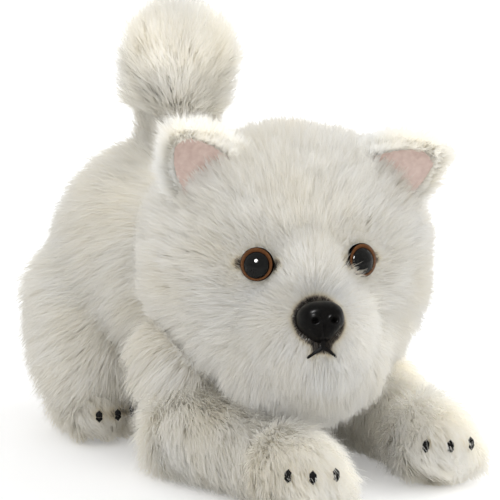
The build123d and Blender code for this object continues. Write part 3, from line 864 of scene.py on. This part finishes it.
EYE_RIM, DOME_HIGH, DOME_FOOT = 6.5, 4.0, 0.9
DOME_R = (EYE_RIM ** 2 + DOME_HIGH ** 2) / (2 * DOME_HIGH)
PUPIL_R, PUPIL_TOP = 7.2, 3.2
PUPIL_LOW = np.array([0, 0, -0.4])      # the pupils sit a little low
CUP_LINE = [(2.2, -11), (2.2, -1.5), (6.6, -1.5), (6.75, -0.6), (6.7, 0.5), (EYE_RIM, 0.8), (6.4, 0.2),
            (0, 0.0)]
IRIS_LINE = [(EYE_RIM, 0.7), (6.1, 0.75), (5.6, 0.65), (5.0, 0.5), (4.6, 0.42), (4.55, 0.2), (6.4, 0.2),
             (EYE_RIM, 0.7)]
PUPIL_LINE = [(5.25, 0.4), (5.25, 0.8)] + [(PUPIL_R * sin(a), PUPIL_R * (cos(a) - 1) + PUPIL_TOP)
                                           for a in np.linspace(radians(46), 0, 16)]
DOME_LINE = [(EYE_RIM, 0.7)] + [(DOME_R * sin(a), DOME_FOOT + DOME_HIGH - DOME_R + DOME_R * cos(a))
                                for a in np.linspace(np.arcsin(6.47 / DOME_R), 0, 22)]

for side, word in SIDES:
    out = EYES[side] @ TURN.T
    seat = HEAD_AT + out * (EYE_SEAT + 1.5)
    cup = lathe(f"{word}_eye_cup", CUP_LINE, seat, out, EYE_BLACK)
    show(cup, "head", "eye_black", f"{word}_eye_backing")
    iris = lathe(f"{word}_eye_iris", IRIS_LINE, seat, out, IRIS,
                 v_from=lambda r: 0.05 + 0.9 * (r - 4.4) / 2.2)
    show(iris, "head", "eye_brown", f"{word}_eye_iris")
    pupil = lathe(f"{word}_eye_pupil", PUPIL_LINE, seat + PUPIL_LOW, out, PUPIL)
    show(pupil, "head", "eye_black", f"{word}_eye_pupil")
    dome = lathe(f"{word}_eye_dome", DOME_LINE, seat, out, GLASS)
    show(dome, "head", "eye_clear", f"{word}_eye_dome")


def nose_mesh():
    """A rounded heart with two nostrils and a groove between them."""
    level, high = np.array([1.0, 0, 0]), np.array([0, sin(NOSE_UP), cos(NOSE_UP)])
    rings, around = 46, 160
    verts = []
    for i in range(rings + 1):
        rho = i / rings
        for k in range(around):
            t = 2 * pi * k / around
            c, s = cos(t), sin(t)
            wide = 9.2 * (1 - 0.36 * smooth(0.1, 1.0, -s)) * (1 - 0.05 * smooth(0.3, 1, s))
            x = wide * np.sign(c) * abs(c) ** 0.80
            y = (7.4 if s > 0 else 8.8) * np.sign(s) * abs(s) ** (0.78 if s > 0 else 0.95)
            edge = rho ** 0.9
            x, y = x * edge, y * edge
            z = 8.8 * max(1 - rho ** 3.4, 0) ** 0.55
            z += 0.9 * np.exp(-((y - 3.2) / 3.0) ** 2) * (1 - rho ** 2)
            z -= 1.3 * smooth(2, -9, y) * (1 - rho ** 3)
            for w in (-1, 1):
                d = sqrt((x - w * 3.7) ** 2 + ((y + 1.2) * 1.2) ** 2)
                z -= 1.9 * np.exp(-(d / 0.95) ** 2) - 0.5 * np.exp(-((d - 1.9) / 0.7) ** 2)
            z -= 0.8 * np.exp(-(x / 0.55) ** 2) * smooth(-0.5, -3.5, y) * (1 - rho ** 6)
            verts.append(from_head(MUZZLE_AT + (21.6 + z) * NOSE_DIR + x * level + y * high))
    base = len(verts)
    verts += [edge - (NOSE_DIR @ TURN.T) * 5 for edge in verts[-around:]]
    faces = [quad[:1] + quad[:0:-1] for quad in ring_quads(rings + 2, around)]
    faces.append(tuple(range(base, base + around)))
    return np.array(verts), faces


verts, faces = nose_mesh()
nose = smooth_shaded(new_mesh("nose_button", verts * MM, faces, NOSE_MAT))
show(nose, "head", "nose_black", "nose")


def muzzle_point(azimuth, up, radius=25.2):
    a, e = radians(azimuth), radians(up)
    return from_head(MUZZLE_AT + radius * np.array([sin(a) * cos(e), -cos(a) * cos(e), sin(e)]))


verts, faces = [], []
for j in (-1, 0, 1):
    tube(verts, faces, [muzzle_point(j * 1.1, u, 25.5) for u in np.linspace(3, -6.0, 9)], 0.36)
for side in (-1, 1):
    for j in (-1.5, -0.5, 0.5, 1.5):
        path = []
        for t in np.linspace(0, 1, 12):
            a = side * (0.2 + 14.0 * t)
            u = -4.6 - 11.0 * t ** 1.2 + j * 0.95 * (1 - 0.6 * t)
            path.append(muzzle_point(a, u, 25.6 - 0.2 * abs(j) - 0.9 * t * t))
        tube(verts, faces, path, 0.34)
mouth = new_mesh("mouth_threads", np.array(verts) * MM, faces, THREAD)
show(mouth, "head", "black_thread", "mouth_stitching")

# ---------------------------------------------------------------- ears

EAR_HIGH, EAR_HALF = 20.5, 13.0
EAR_OUT = {1: radians(46), -1: radians(40)}         # from straight up to where each ear stands on the head
EAR_LEAN = {1: radians(-3), -1: radians(13)}        # turn of each ear in its own plane


def ear_axes(side):
    """The hinge's middle, and the ear's own axes: along its base to the outer end, to the tip, and back."""
    a, e = EAR_OUT[side], radians(10)
    rise = np.array([side * sin(a) * cos(e), -sin(e), cos(a) * cos(e)])
    outer = np.array([side * cos(a), 0, -sin(a)])
    back = np.cross(rise, outer) * side
    lean = EAR_LEAN[side]
    return rise * 56, outer * cos(lean) + rise * sin(lean), rise * cos(lean) - outer * sin(lean), back


def ear_half(v):
    """Half of the ear's width at v."""
    return EAR_HALF * np.maximum(1 - np.maximum(v, 0) ** 1.6, 0) ** 0.8 + 0.2


def ear_sweep(v):
    """How far outwards the ear's middle line has gone at v."""
    return 4.4 * np.maximum(v, 0) ** 1.1


def ear_point(side, u, v, y):
    """u runs from the inner to the outer edge, v from the hinge to the tip, y backwards."""
    base, outer, up, back = ear_axes(side)
    cup = 3.2 * (1 - u * u) * (1 - 0.4 * v) - 1.6 - 3.0 * smooth(0.45, 1.15, v)
    across = ear_sweep(v) + ear_half(v) * u
    q = base + outer * across[..., None] + up * (EAR_HIGH * v)[..., None] + back * (cup + y)[..., None]
    return from_head(q)


def ear_coords(side, p):
    base, outer, up, back = ear_axes(side)
    q = to_head(p) - base
    v = (q @ up) / EAR_HIGH
    return (q @ outer - ear_sweep(v)) / ear_half(v), v


def in_lining(u, v):
    return (abs(u - 0.08) < 0.80 - 0.10 * v) & (v < 0.80)


def ear_form(side):
    """A thin cupped triangle with round edges."""
    cols, rows = 41, 37
    u, v = np.meshgrid(np.linspace(-1, 1, cols), np.linspace(-0.35, 0.999, rows))
    thick = 1.7 * np.sqrt(np.clip(1 - u ** 6, 0, 1)) * (1 - 0.45 * v.clip(0, 1)) + 0.05
    verts = np.concatenate([ear_point(side, u, v, y).reshape(-1, 3) for y in (thick, -0.6 * thick)])
    half = rows * cols
    quads = []
    for i in range(rows - 1):
        for k in range(cols - 1):
            q = i * cols + k
            quads.append((q, q + 1, q + cols + 1, q + cols))
            quads.append((half + q, half + q + cols, half + q + cols + 1, half + q + 1))
    ring = ([(0, k) for k in range(cols)] + [(i, cols - 1) for i in range(1, rows)]
            + [(rows - 1, k) for k in range(cols - 2, -1, -1)] + [(i, 0) for i in range(rows - 2, 0, -1)])
    ring = [i * cols + k for i, k in ring]
    for a0, a1 in zip(ring, ring[1:] + ring[:1]):
        quads.append((a0, half + a0, half + a1, a1))
    tris = np.array([t for a, b, c, d in quads for t in ((a, b, c), (a, c, d))])
    if (vertex_normals(verts, tris)[:half] @ (ear_axes(side)[3] @ TURN.T)).mean() < 0:
        tris = tris[:, ::-1]
    return verts, tris, vertex_normals(verts, tris)


for side, word in SIDES:
    body = f"{word}_ear"
    EAR = ear_form(side)
    show(skin_object(f"{word}_ear_skin", EAR, BACKING), body, "body_fur")

    # The lining, a smooth triangle set in from the edge.
    rows = 31
    lu, lv = np.meshgrid(np.linspace(-1, 1, rows), np.linspace(0, 1, rows))
    vv = -0.2 + 1.06 * lv
    lining = ear_point(side, 0.06 + lu * (0.88 - 0.10 * vv), vv, -1.15 - 0.6 * (1 - lu ** 8) * (1 - lv ** 8))
    corners = [i * rows + k for i in range(rows - 1) for k in range(rows - 1)]
    grid = [(at, at + 1, at + rows + 1, at + rows) for at in corners]
    inner = smooth_shaded(new_mesh(f"{word}_ear_lining_cloth", lining.reshape(-1, 3) * MM, grid, PINK))
    show(inner, body, "ear_lining", f"{word}_ear_lining")

    def ear_look(p, n, side=side):
        _, outer, up, back = ear_axes(side)
        u, v = ear_coords(side, p)
        face = n @ (back @ TURN.T) < 0
        comb = (up * (0.7 + 0.9 * v)[:, None] + outer * (u * 0.8)[:, None]) @ TURN.T
        fold = smooth(0.35, -0.75, u) * smooth(0.12, 0.5, v) + smooth(0.6, 1, v)
        comb = comb - (back @ TURN.T) * (0.7 * fold.clip(0, 1))[:, None]
        length = np.where(face, 5.5, 10.0) + 2.0 * fold.clip(0, 1)
        length = length * (1 - 0.45 * smooth(0.5, 1.0, u) * face)
        return {"comb": comb, "length": length, "lift": np.where(face, 0.30, 0.46), "droop": 0.03,
                "pull": 0.25, "fuzz": 0.8}

    def ear_keep(p, n, side=side):
        u, v = ear_coords(side, p)
        return ~((n @ (ear_axes(side)[3] @ TURN.T) < -0.3) & in_lining(u, v))

    hairs({f"{word}_ear_fringe": [f"{word}_ear_fur"]}, EAR, 15000, ear_look, body, "body_fur",
          plain_white(0.26), ear_keep, width=0.30, seed=71 + side, tuft=3.0, under=0.16)

# ---------------------------------------------------------------- what stays of the CAD part
for name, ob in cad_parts.items():
    pick = {"closing_stitches": WHITE_THREAD}.get(name, WASHER if name.endswith("washer") else None)
    if pick:
        for slot in ob.material_slots:
            slot.material = pick

# ---------------------------------------------------------------- floor, light and camera

def looked_at(nodes, links):
    """1 for a ray that shows the surface itself: from the camera, off a gloss or through a clear piece."""
    path = add(nodes, "LightPath")
    total = path.outputs["Is Camera Ray"]
    for kind in ("Is Glossy Ray", "Is Transmission Ray"):
        either = add(nodes, "Math", operation="MAXIMUM")
        links.new(total, either.inputs[0])
        links.new(path.outputs[kind], either.inputs[1])
        total = either.outputs[0]
    return total


floor_mat, nodes, links, shader = material("floor_white")
put(shader, {"Base Color": (0.93, 0.93, 0.93, 1), "Roughness": 0.9, "Specular IOR Level": 0.1})
# Where it is looked at, the floor glows a little, and more away from the dog, so that its edge doesn't show.
place, apart = add(nodes, "TexCoord"), add(nodes, "VectorMath", operation="LENGTH")
links.new(place.outputs["Object"], apart.inputs[0])
spread = add(nodes, "MapRange", {"From Min": 0.14, "From Max": 0.75, "To Min": 0.25, "To Max": 0.60})
links.new(apart.outputs["Value"], spread.inputs["Value"])
lift = add(nodes, "Math", operation="MULTIPLY")
links.new(looked_at(nodes, links), lift.inputs[0])
links.new(spread.outputs["Result"], lift.inputs[1])
glow, both = add(nodes, "Emission"), add(nodes, "AddShader")
links.new(lift.outputs[0], glow.inputs["Strength"])
links.new(shader.outputs[0], both.inputs[0])
links.new(glow.outputs[0], both.inputs[1])
links.new(both.outputs[0], nodes["Material Output"].inputs["Surface"])
FLOOR_HALF = 8.0            # metres
corners = [(x * FLOOR_HALF, y * FLOOR_HALF, 0) for x, y in ((-1, -1), (1, -1), (1, 1), (-1, 1))]
floor = new_mesh("floor", corners, [(0, 1, 2, 3)], floor_mat)

world = bpy.data.worlds.new("studio")
bpy.context.scene.world = world
world.use_nodes = True
nodes, links = world.node_tree.nodes, world.node_tree.links
mix = add(nodes, "MixShader")
links.new(looked_at(nodes, links), mix.inputs["Fac"])
for at, (node, strength) in enumerate(((nodes["Background"], 0.68), (add(nodes, "Background"), 1.02)), 1):
    put(node, {"Color": (1, 1, 1, 1), "Strength": strength})
    links.new(node.outputs[0], mix.inputs[at])
links.new(mix.outputs[0], nodes["World Output"].inputs["Surface"])


def lamp(name, at, aim, size, power):
    """A round soft lamp. Places and size are in metres, and power in watts."""
    data = bpy.data.lights.new(name, "AREA")
    data.shape = "DISK"
    data.size = size
    data.energy = power
    ob = bpy.data.objects.new(name, data)
    ob.location = at
    ob.rotation_euler = (Vector(aim) - Vector(at)).to_track_quat("-Z", "Y").to_euler()
    bpy.context.scene.collection.objects.link(ob)
    return ob


key = lamp("key", (0.95, -0.20, 1.00), (0, 0, 0.07), 0.9, 6.6)
fill = lamp("fill", (-0.81, -0.45, 0.84), (0, -0.03, 0.08), 0.6, 0.7)
behind = lamp("back", (0.10, 0.75, 1.15), (0, 0, 0.08), 0.8, 3.3)
catch = lamp("catch", (-0.79, -0.47, 0.80), (0, -0.03, 0.08), 0.42, 52.0)
for ob in (key, fill, behind):
    ob.visible_glossy = False
catch.visible_diffuse = False       # it makes only the highlights

TARGET = np.array([0, -32.25, 84.0])
AIM_LEFT, AIM_UP = 15.58, 4.92          # from the target to the middle of the view
AZ, EL, FAR = radians(-33), radians(12), 1100.0
toward = np.array([sin(AZ) * cos(EL), -cos(AZ) * cos(EL), sin(EL)])
right = unit(np.cross(np.array([0, 0, 1.0]), toward))
above = np.cross(toward, right)
aim = TARGET - right * AIM_LEFT + above * AIM_UP
data = bpy.data.cameras.new("camera")
data.lens = 193.2
data.sensor_width = 36
data.clip_start, data.clip_end = 0.05, 50
camera = bpy.data.objects.new("camera", data)
camera.location = (aim + toward * FAR) * MM
camera.rotation_euler = Vector(-toward).to_track_quat("-Z", "Y").to_euler()
bpy.context.scene.collection.objects.link(camera)
bpy.context.scene.camera = camera
bpy.context.scene.view_settings.view_transform = "Standard"
